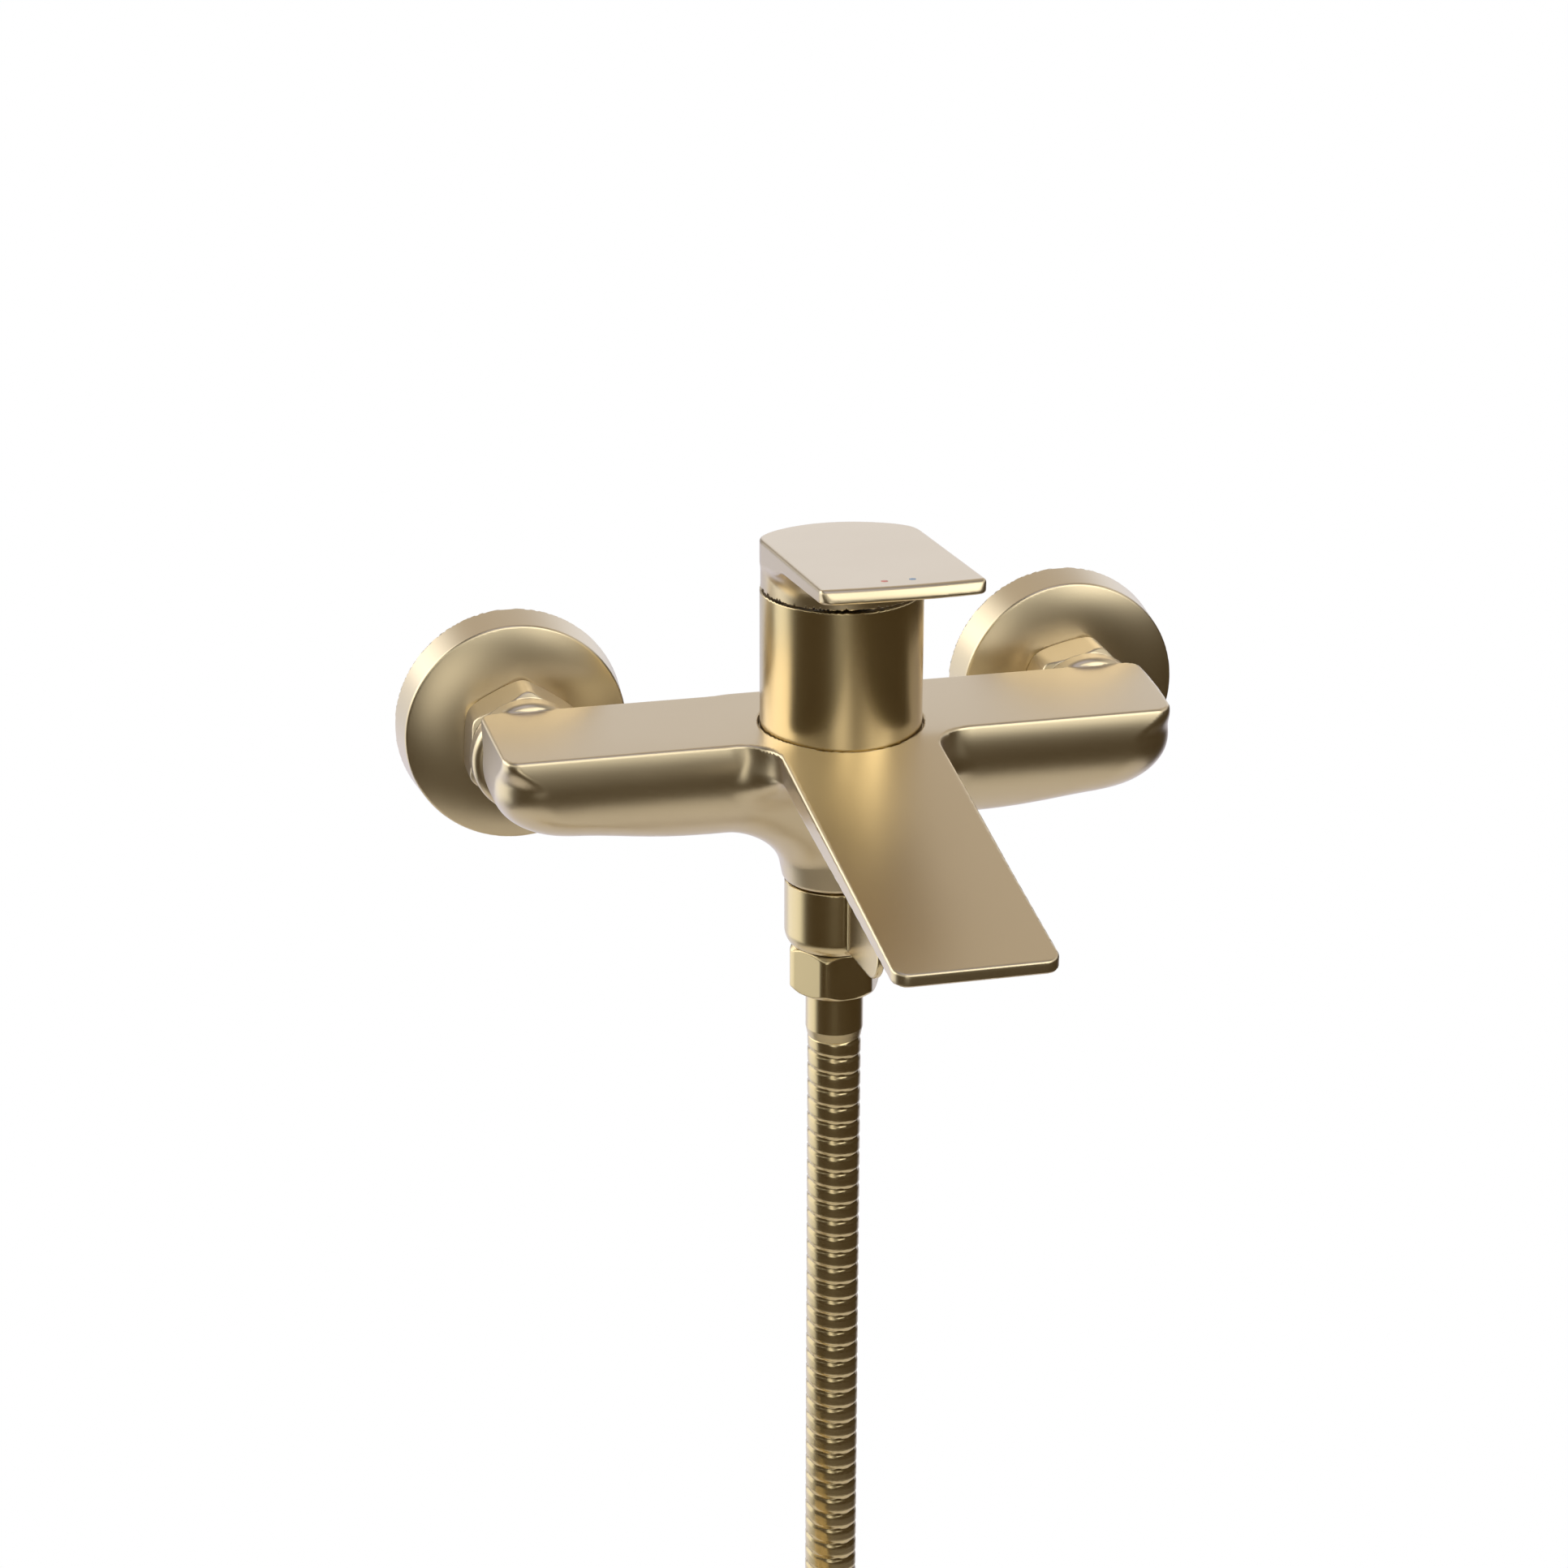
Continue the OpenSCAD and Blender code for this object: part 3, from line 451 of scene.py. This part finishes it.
body = skin("bodyShell", bodyField, bodyLow, bodyHigh, 0.7)
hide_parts("body")
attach(body, "mixer")
print("body made")

leverLow, leverHigh = cadBox("lever")
sweepZ = 36.3  # height of the pivot that the lever lifts about
leverShape = {
    "topZ": 61.4,  # at the turning axis
    "rise": 5.0,  # degrees towards the front edge
    "rootDepth": 4.4,
    "tipDepth": 3.4,
    "topEdge": 0.9,  # grows towards the rear
    "rearEdge": 5.0,
    "lowEdge": 0.8,
    "frontLean": 30.0,  # the front face looks up by this many degrees
    "bow": 1.4,  # how far the front edge swells in its middle
    "corner": 3.0,
    "skirt": 48.5,  # height of the skirt's lower edge
    "swing": 23.62,
    "fillet": 9.0,  # between the skirt's front and the underside of the plate
    "sideFillet": 4.0,
    "hollowRadius": 17.6,
    "hollowTop": 57.3,
    "hubRadius": 7.2,
    "hubLow": 50.2,
    "socket": 3.5,  # half width of the stem's square hole
    "screwRadius": 2.5,
    "sideEdge": 0.7,
}


def leverField(x, y, z, shape=leverShape):
    ahead = towerY - y
    rise = math.tan(math.radians(shape["rise"]))
    reach = towerY - leverLow[1] + 0.3 + shape["bow"] * (1 - (x / sleeveRadius) ** 2)
    share = np.clip(ahead / 57, 0, 1)
    r = np.hypot(x, y - towerY)
    side = sleeveRadius - 0.3 * share
    front = roundMax(np.abs(x) - side, ahead - reach, shape["corner"])
    plan = np.where(ahead > 0, front, r - sleeveRadius)
    top = (z - shape["topZ"] - rise * ahead) * 0.996
    depth = mix(shape["rootDepth"], shape["tipDepth"], share)
    under = -top - depth
    lean = math.radians(shape["frontLean"])
    face = (ahead - reach) * math.cos(lean) + (top + depth - 0.6) * math.sin(lean)
    plate = roundMax(under, face, shape["lowEdge"])
    skirt = roundMax(r - (sleeveRadius - 0.02), shape["skirt"] - z, 0.2)
    fillet = mix(shape["sideFillet"], shape["fillet"], smooth(ahead, 2, 16))
    solid = roundMin(plate, skirt, fillet)
    solid = roundMax(solid, plan, shape["sideEdge"])
    topEdge = mix(shape["topEdge"], shape["rearEdge"], smooth(-ahead, 4, 19))
    solid = roundMax(solid, top, topEdge)
    # inside: a ball about the pivot clears the sleeve as the lever lifts
    swing = np.hypot(r, z - sweepZ) - shape["swing"]
    chamber = np.maximum(r - shape["hollowRadius"], z - shape["hollowTop"])
    hollow = np.minimum(np.maximum(swing, z - shape["skirt"] - 4), chamber)
    hollow = np.maximum(hollow, -np.maximum(r - shape["hubRadius"], shape["hubLow"] - z))
    square = np.maximum(np.abs(x), np.abs(y - towerY)) - shape["socket"]
    socket = np.maximum(square, z - leverLow[2] - 8.3)
    screw = np.maximum(np.hypot(x, z - leverLow[2] - 4.5) - shape["screwRadius"], towerY - y)
    return np.maximum(solid, -np.minimum(np.minimum(hollow, socket), screw))


lever = skin("leverShell", leverField, leverLow - (0, 2, 0), leverHigh + (0, 0, 1),
             0.45)
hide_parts("lever")
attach(lever, "lever_arm")

dotShape = {
    "radius": 0.85,
    "apart": 6.8,
    "fromFront": 6.3,
    "height": 0.04,  # above and below the lever's top
    "sides": 24,
}


def dot(name, x0, material, shape=dotShape):
    # printed mark on the lever's top, round, near the front edge
    rise = math.tan(math.radians(leverShape["rise"]))
    sides = shape["sides"]
    points = []
    for level in (-1, 1):
        for k in range(sides):
            angle = 2 * math.pi * k / sides
            ahead = towerY - leverLow[1] - shape["fromFront"] + shape["radius"] * math.sin(angle)
            points.append(((x0 + shape["radius"] * math.cos(angle)) * mm, (towerY - ahead) * mm,
                           (leverShape["topZ"] + rise * ahead + level * shape["height"]) * mm))
    faces = [[k, (k + 1) % sides, sides + (k + 1) % sides, sides + k] for k in range(sides)]
    faces += [list(range(sides))[::-1], list(range(sides, 2 * sides))]
    mark = meshFrom(name, points, faces, material)
    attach(mark, "lever_arm")


dot("hotDot", -dotShape["apart"] / 2, finishes["redInk"])
dot("coldDot", dotShape["apart"] / 2, finishes["blueInk"])
print("lever made")

sleeveShape = {
    "bore": 18.9,
    "top": 47.9,
    "edge": 0.15,
    "lipBore": 17.4,  # lip at the top, over the cartridge tower
    "lipLow": 44.8,
    "lipTop": 47.6,
}


def sleeveField(x, y, z, shape=sleeveShape):
    r = np.hypot(x, y - towerY)
    wall = band(r, shape["bore"], sleeveRadius)
    wall = roundMax(wall, z - shape["top"], shape["edge"])
    lip = np.maximum(band(r, shape["lipBore"], shape["bore"] + 0.3),
                     band(z, shape["lipLow"], shape["lipTop"]))
    return np.maximum(np.minimum(wall, lip), sleeveLow[2] - z)


sleeve = skin("sleeveShell", sleeveField, sleeveLow, sleeveHigh, 0.5, turnedGold)
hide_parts("sleeve")
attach(sleeve, "mixer")

rosetteShape = {
    "ridgeEdge": 0.5,
    "wall": 1.5,
    "dome": 3.3,  # how far the face falls from the flat middle to the rim
    "flat": 11.0,
    "fall": 2.4,
    "taper": 0.10,
    "bore": 12.67,
}


def rosetteField(centreX, rim, depth):
    def field(x, y, z, shape=rosetteShape):
        r = np.hypot(x - centreX, z)
        out = -y
        fall = np.clip((r - shape["flat"]) / (rim - shape["flat"]), 0, 1)
        face = depth - shape["dome"] * fall ** shape["fall"]
        shell = roundMax(r - rim + shape["taper"] * out, (out - face) * 0.95, shape["ridgeEdge"])
        hollow = roundMax(r - rim + shape["wall"] + 1.2, out - face + shape["wall"] + 0.6, 1.5)
        shell = np.maximum(np.maximum(shell, -hollow), shape["bore"] - r)
        return np.maximum(shell, -out)
    return field


def nutField(shape, turn, bore, length, place):
    # place turns x, y, z into across, up and along the nut's axis
    def field(x, y, z):
        u, v, w = place(x, y, z)
        r = np.hypot(u, v)
        flats = hexagon(u, v, shape["acrossFlats"], turn)
        body = roundMax(flats, r - shape["corner"], 0.5)
        for gap in (w, length - w):
            cone = (r - shape["corner"] + shape["bevel"] - gap) / math.sqrt(2)
            body = roundMax(body, cone, 0.25)
            body = roundMax(body, -gap, 0.15)
        return np.maximum(body, -bore(r, w))
    return field


unionNutShape = {
    "acrossFlats": 28.5,
    "corner": 15.9,  # turned radius that cuts the hexagon's corners
    "bevel": 1.35,
    "turn": {"left": 26.0, "right": 13.5},  # degrees, where tightening left each nut
    "thread": 12.67,
    "threadDepth": 10,
    "bore": 9.4,
}


def unionBore(r, w, shape=unionNutShape):
    thread = np.maximum(r - shape["thread"], w - shape["threadDepth"])
    return np.minimum(thread, r - shape["bore"])


for side, name in ((-1, "left"), (1, "right")):
    low, high = cadBox("rosette_" + name)
    rim = (high[0] - low[0]) / 2
    shell = skin("rosetteShell_" + name, rosetteField(side * inletX, rim, -low[1]), low, high,
                 0.55)
    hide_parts("rosette_" + name)
    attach(shell, "mixer")
    low, high = cadBox("union_nut_" + name)

    def unionPlace(x, y, z, centre=side * inletX, start=-high[1]):
        return x - centre, z, -y - start
    field = nutField(unionNutShape, unionNutShape["turn"][name], unionBore, high[1] - low[1],
                     unionPlace)
    shell = skin("unionNutShell_" + name, field, low, high, 0.4)
    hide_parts("union_nut_" + name)
    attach(shell, "union_nut_" + name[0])

low, high = cadBox("hose_nut")
hoseNutShape = {
    "acrossFlats": 21.8,
    "corner": 12.2,
    "bevel": 1.3,
    "turn": 4.0,
    "thread": 9.93,
    "lip": 1.25,  # thickness of the inner lip at the bottom
    "bore": 7.85,
}


def hoseBore(r, w, shape=hoseNutShape):
    return np.minimum(np.maximum(r - shape["thread"], shape["lip"] - w), r - shape["bore"])


def hosePlace(x, y, z, base=low[2]):
    return x, y - outletY, z - base


hoseNutField = nutField(hoseNutShape, hoseNutShape["turn"], hoseBore, high[2] - low[2], hosePlace)
hoseNut = skin("hoseNutShell", hoseNutField, low, high, 0.35, turnedGold)
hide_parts("hose_nut")
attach(hoseNut, "hose_nut_b")

ringShape = {
    "radius": 13.1,
    "coneIn": 1.4,  # the underside is a cone: how far in it starts, and how it widens upward
    "coneSlope": 0.65,
    "coneScale": 1.19,
    "bore": 10.88,
    "mouth": 11.3,  # wider bore at the bottom
    "mouthDepth": 0.95,
    "finYaw": 4.0,  # degrees
    "finReach": 36.5,
    "finThick": 2.0,
    "finRise": 1.6,  # above the ring's lower edge
}


def ringField(x, y, z, shape=ringShape):
    v = y - outletY
    r = np.hypot(x, v)
    ring = roundMax(r - shape["radius"], z - ringHigh[2], 0.3)
    cone = r - shape["radius"] + shape["coneIn"] - (z - ringLow[2]) * shape["coneSlope"]
    cone = cone / shape["coneScale"]
    ring = roundMax(ring, cone, 0.8)
    ring = roundMax(ring, ringLow[2] - z, 0.3)
    yaw = math.radians(shape["finYaw"])
    out = -(v * math.cos(yaw) - x * math.sin(yaw))
    across = x * math.cos(yaw) + v * math.sin(yaw)
    finLow, finHigh = ringLow[2] + shape["finRise"], ringHigh[2] - 0.2
    lower = roundMax(out - shape["finReach"], finLow - z, 8.0)
    outline = roundMax(lower, z - finHigh, 3.5)
    fin = roundMax(np.abs(across) - shape["finThick"] / 2, outline, 0.8)
    fin = np.maximum(fin, -out)
    ring = roundMin(ring, fin, 1.2)
    ring = np.maximum(ring, z - ringHigh[2])
    mouth = np.maximum(r - shape["mouth"], z - ringLow[2] - shape["mouthDepth"])
    return np.maximum(ring, -np.minimum(r - shape["bore"], mouth))


ring = skin("diverterRingShell", ringField, ringLow, ringHigh, 0.4, turnedGold)
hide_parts("diverter_ring")
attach(ring, "diverter")
print("sleeve, rosettes, nuts and ring made")

# Straight down out of the ferrule, then three turns of a coil and a hanging end, in metres
hoseShape = {
    "length": 1.6,
    "radius": 0.007,
    "coilRadius": 0.070,
    "coilTurns": 3,
    "coilSteps": 48,  # points in each turn
    "pitch": 0.00475,  # of the wound strip
    "groove": 0.0009,
    "shoulder": 0.45,  # share of each lap's half that is rounded
}
hoseY = -0.052
coilZ = -0.315
hoseRoute = [(0, hoseY, -0.0755)]
hoseRoute += [(0, hoseY, round(-0.09 - 0.015 * k, 3)) for k in range(15)]
hoseEnd = [(0, -0.094, -0.330), (0, -0.094, -0.345), (0, -0.094, -0.365)]


def hoseLine(shape=hoseShape):
    route = [Vector(p) for p in hoseRoute]
    for k in range(shape["coilSteps"] * shape["coilTurns"] + 1):
        angle = 2 * math.pi * k / shape["coilSteps"]
        across = shape["coilRadius"] * (math.cos(angle) - 1)
        down = -shape["coilRadius"] * math.sin(angle)
        depth = hoseY - 2 * shape["radius"] * angle / (2 * math.pi)
        route.append(Vector((across, depth, coilZ + down)))
    return route + [Vector(p) for p in hoseEnd]


def evenly(route, gap):
    # points about a fixed gap apart along the route, and how far along it each one is
    pts = np.array([list(p) for p in route])
    length = np.concatenate([[0], np.cumsum(np.linalg.norm(np.diff(pts, axis=0), axis=1))])
    count = int(length[-1] / gap) + 1
    at = np.linspace(0, length[-1], count)
    return np.stack([np.interp(at, length, pts[:, k]) for k in range(3)], 1), at


def hoseMesh(name, shape=hoseShape):
    perLap = 9  # rows of points in each lap of the strip
    sides = 30
    centres, at = evenly(hoseLine(), shape["pitch"] / perLap)
    ahead = np.gradient(centres, axis=0)
    ahead /= np.linalg.norm(ahead, axis=1)[:, None]
    # the frame is carried along the line without twisting
    side = np.zeros_like(centres)
    side[0] = (0, -1, 0)
    for k in range(1, len(centres)):
        carried = side[k - 1] - ahead[k] * (side[k - 1] @ ahead[k])
        side[k] = carried / np.linalg.norm(carried)
    other = np.cross(ahead, side)
    theta = np.linspace(0, 2 * math.pi, sides, endpoint=False)
    phase = (at[:, None] / shape["pitch"] + theta[None, :] / (2 * math.pi)) % 1
    # each lap of the strip is a flat crown with a rounded shoulder into a narrow groove
    edge = np.minimum(phase, 1 - phase) * 2
    rounded = np.clip(edge / shape["shoulder"], 0, 1)
    crown = np.sqrt(np.clip(1 - (1 - rounded) ** 2, 0, 1))
    radius = shape["radius"] - shape["groove"] * (1 - crown)
    ring = (side[:, None, :] * np.cos(theta)[None, :, None]
            + other[:, None, :] * np.sin(theta)[None, :, None])
    points = centres[:, None, :] + ring * radius[:, :, None]
    rows = len(centres)
    k = np.arange(rows - 1)[:, None] * sides
    j = np.arange(sides)[None, :]
    jn = (j + 1) % sides
    faces = np.stack([k + j, k + jn, k + sides + jn, k + sides + j], -1).reshape(-1, 4).tolist()
    faces.append(list(range(sides))[::-1])
    faces.append([(rows - 1) * sides + i for i in range(sides)])
    return meshFrom(name, points.reshape(-1, 3), faces, turnedGold), centres


hose, hoseCentres = hoseMesh("showerHose")
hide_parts("hose", "hose_coil")
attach(hose, "mixer")
print("hose made")

view = {
    "lens": 82.34,
    "target": (-0.0141, -0.054, -0.0039),
    "azimuth": -13.90,  # degrees, as elevation and roll
    "elevation": 21.02,
    "roll": 0.09,
    "distance": 0.9072,
}
camera = bpy.data.cameras.new("camera")
camera.lens = view["lens"]
cameraObject = bpy.data.objects.new("camera", camera)
bpy.context.scene.collection.objects.link(cameraObject)
azimuth, elevation = math.radians(view["azimuth"]), math.radians(view["elevation"])
away = Vector((math.sin(azimuth) * math.cos(elevation), -math.cos(azimuth) * math.cos(elevation),
               math.sin(elevation)))
aim = (-away).to_track_quat("-Z", "Y").to_matrix().to_4x4()
cameraObject.matrix_world = (Matrix.Translation(Vector(view["target"]) + away * view["distance"])
                             @ aim @ Matrix.Rotation(math.radians(view["roll"]), 4, "Z"))
bpy.context.scene.camera = cameraObject

bpy.context.scene.view_settings.view_transform = "Standard"

# A round tent of soft cards and grey flags, open behind the part, where the white surround
# shows. Each card: azimuth from the room side towards the right, elevation above the horizon,
# half widths and softness in degrees, then the light's strength and colour. Where cards meet,
# the brighter one counts.
cards = {
    "overhead": (0, 86, 180, 14, 16, 0.98, "#e0e0ff"),
    "key": (-2, 44, 14, 20, 16, 2.20, "#fffdf8"),
    "keyRight": (36, 38, 20, 25, 16, 2.40, "#fffdf8"),
    "frontLow": (-14, 0, 10, 12, 14, 1.40, "#fffaf0"),
    "frontLeft": (-40, 36, 40, 20, 20, 0.70, "#fffcf6"),
    "left": (-122, -14, 30, 20, 18, 1.20, "#fffefa"),
    "leftHigh": (-118, 22, 36, 20, 18, 2.40, "#fffcf6"),
    "right": (85, 38, 40, 18, 20, 0.80, "#fffaf4"),
    "wallHigh": (165, 40, 50, 22, 22, 0.60, "#fff0dc"),
    "wallLow": (185, -36, 55, 24, 24, 0.90, "#f4f2fa"),
}
tent = {
    "radius": 4.0,  # metres
    "base": (0.06, "#ffd690"),  # strength and colour of the unlit cloth
    "opening": (158, 4, 24, 18, 16),  # azimuth, elevation, half widths and softness
}
floor = {
    "colour": "#e9e5e0",  # plain pale screed
    "radius": 0.9,  # metres
    "height": -0.9,
}


def disc(name, radius, height, material, parts=96):
    angles = [2 * math.pi * k / parts for k in range(parts)]
    rim = [(radius * math.cos(a), radius * math.sin(a), height) for a in angles]
    thing = meshFrom(name, rim, [list(range(parts))], material)
    thing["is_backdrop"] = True


def ball(name, radius, material, rings=24, parts=48):
    points, faces = [], []
    for i in range(rings + 1):
        el = math.pi * (i / rings - 0.5)
        for j in range(parts):
            az = 2 * math.pi * j / parts
            points.append((radius * math.cos(el) * math.cos(az),
                           radius * math.cos(el) * math.sin(az), radius * math.sin(el)))
    for i in range(rings):
        for j in range(parts):
            k = (j + 1) % parts
            faces.append((i * parts + j, i * parts + k, (i + 1) * parts + k, (i + 1) * parts + j))
    thing = meshFrom(name, points, faces, material)
    thing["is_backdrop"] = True
    return thing


def tentCloth():
    material, tree = newMaterial("studioTent")
    place = add(tree, "ShaderNodeTexCoord")
    aim = add(tree, "ShaderNodeVectorMath", {"operation": "NORMALIZE"}, i0=place.outputs["Object"])
    split = add(tree, "ShaderNodeSeparateXYZ", i0=aim.outputs[0])
    up = add(tree, "ShaderNodeMath", {"operation": "ARCSINE"}, i0=split.outputs["Z"])

    def azimuthFrom(centre):
        # angle round the vertical from the card's middle, so that no card is cut at half a turn
        c, s = math.cos(math.radians(centre)), math.sin(math.radians(centre))
        across = add(tree, "ShaderNodeVectorMath", {"operation": "DOT_PRODUCT", 1: (c, s, 0)},
                     i0=aim.outputs[0])
        ahead = add(tree, "ShaderNodeVectorMath", {"operation": "DOT_PRODUCT", 1: (s, -c, 0)},
                    i0=aim.outputs[0])
        return add(tree, "ShaderNodeMath", {"operation": "ARCTAN2"}, i0=across.outputs["Value"],
                   i1=ahead.outputs["Value"])

    def window(value, centre, half, soft):
        off = add(tree, "ShaderNodeMath", {"operation": "SUBTRACT", 1: math.radians(centre)},
                  i0=value)
        size = add(tree, "ShaderNodeMath", {"operation": "ABSOLUTE"}, i0=off.outputs[0])
        return add(tree, "ShaderNodeMapRange",
                   {"interpolation_type": "SMOOTHSTEP", "From Min": math.radians(half - soft / 2),
                    "From Max": math.radians(half + soft / 2), "To Min": 1.0, "To Max": 0.0},
                   Value=size.outputs[0])

    def patch(az, el, halfAz, halfEl, soft):
        tall = window(up.outputs[0], el, halfEl, soft)
        if halfAz >= 180:
            return tall
        wide = window(azimuthFrom(az).outputs[0], 0, halfAz, soft)
        return add(tree, "ShaderNodeMath", {"operation": "MULTIPLY"}, i0=tall.outputs[0],
                   i1=wide.outputs[0])

    strength, code = tent["base"]
    total = add(tree, "ShaderNodeVectorMath",
                {"operation": "SCALE", 0: linear(code)[:3], "Scale": strength})
    for az, el, halfAz, halfEl, soft, strength, code in cards.values():
        colour = [c * strength for c in linear(code)[:3]]
        lit = add(tree, "ShaderNodeVectorMath", {"operation": "SCALE", 0: colour},
                  Scale=patch(az, el, halfAz, halfEl, soft).outputs[0])
        total = add(tree, "ShaderNodeVectorMath", {"operation": "MAXIMUM"}, i0=total.outputs[0],
                    i1=lit.outputs[0])
    glow = add(tree, "ShaderNodeEmission", {"Strength": 1.0}, Color=total.outputs[0])
    clear = add(tree, "ShaderNodeBsdfTransparent")
    mixed = add(tree, "ShaderNodeMixShader", i0=patch(*tent["opening"]).outputs[0],
                i1=glow.outputs[0], i2=clear.outputs[0])
    out = add(tree, "ShaderNodeOutputMaterial")
    tree.links.new(mixed.outputs[0], out.inputs[0])
    return material


def studio():
    world = bpy.data.worlds.new("whiteSurround")
    bpy.context.scene.world = world
    world.use_nodes = True
    tree = world.node_tree
    tree.nodes.clear()
    white = add(tree, "ShaderNodeBackground", {"Color": (1, 1, 1, 1), "Strength": 1.0})
    out = add(tree, "ShaderNodeOutputWorld")
    tree.links.new(white.outputs[0], out.inputs[0])
    shell = ball("studioTent", tent["radius"], tentCloth())
    shell.visible_camera = False  # the cards stand outside the picture
    shell.visible_shadow = False
    material, tree = newMaterial("paleScreed")
    shader = add(tree, "ShaderNodeBsdfPrincipled",
                 {"Base Color": linear(floor["colour"]), "Roughness": 0.9})
    out = add(tree, "ShaderNodeOutputMaterial")
    tree.links.new(shader.outputs[0], out.inputs[0])
    disc("floor", floor["radius"], floor["height"], material)


studio()
print("studio made")

low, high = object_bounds()
{"cad": [list(cadLow), list(cadHigh)], "final": [list(low), list(high)]}
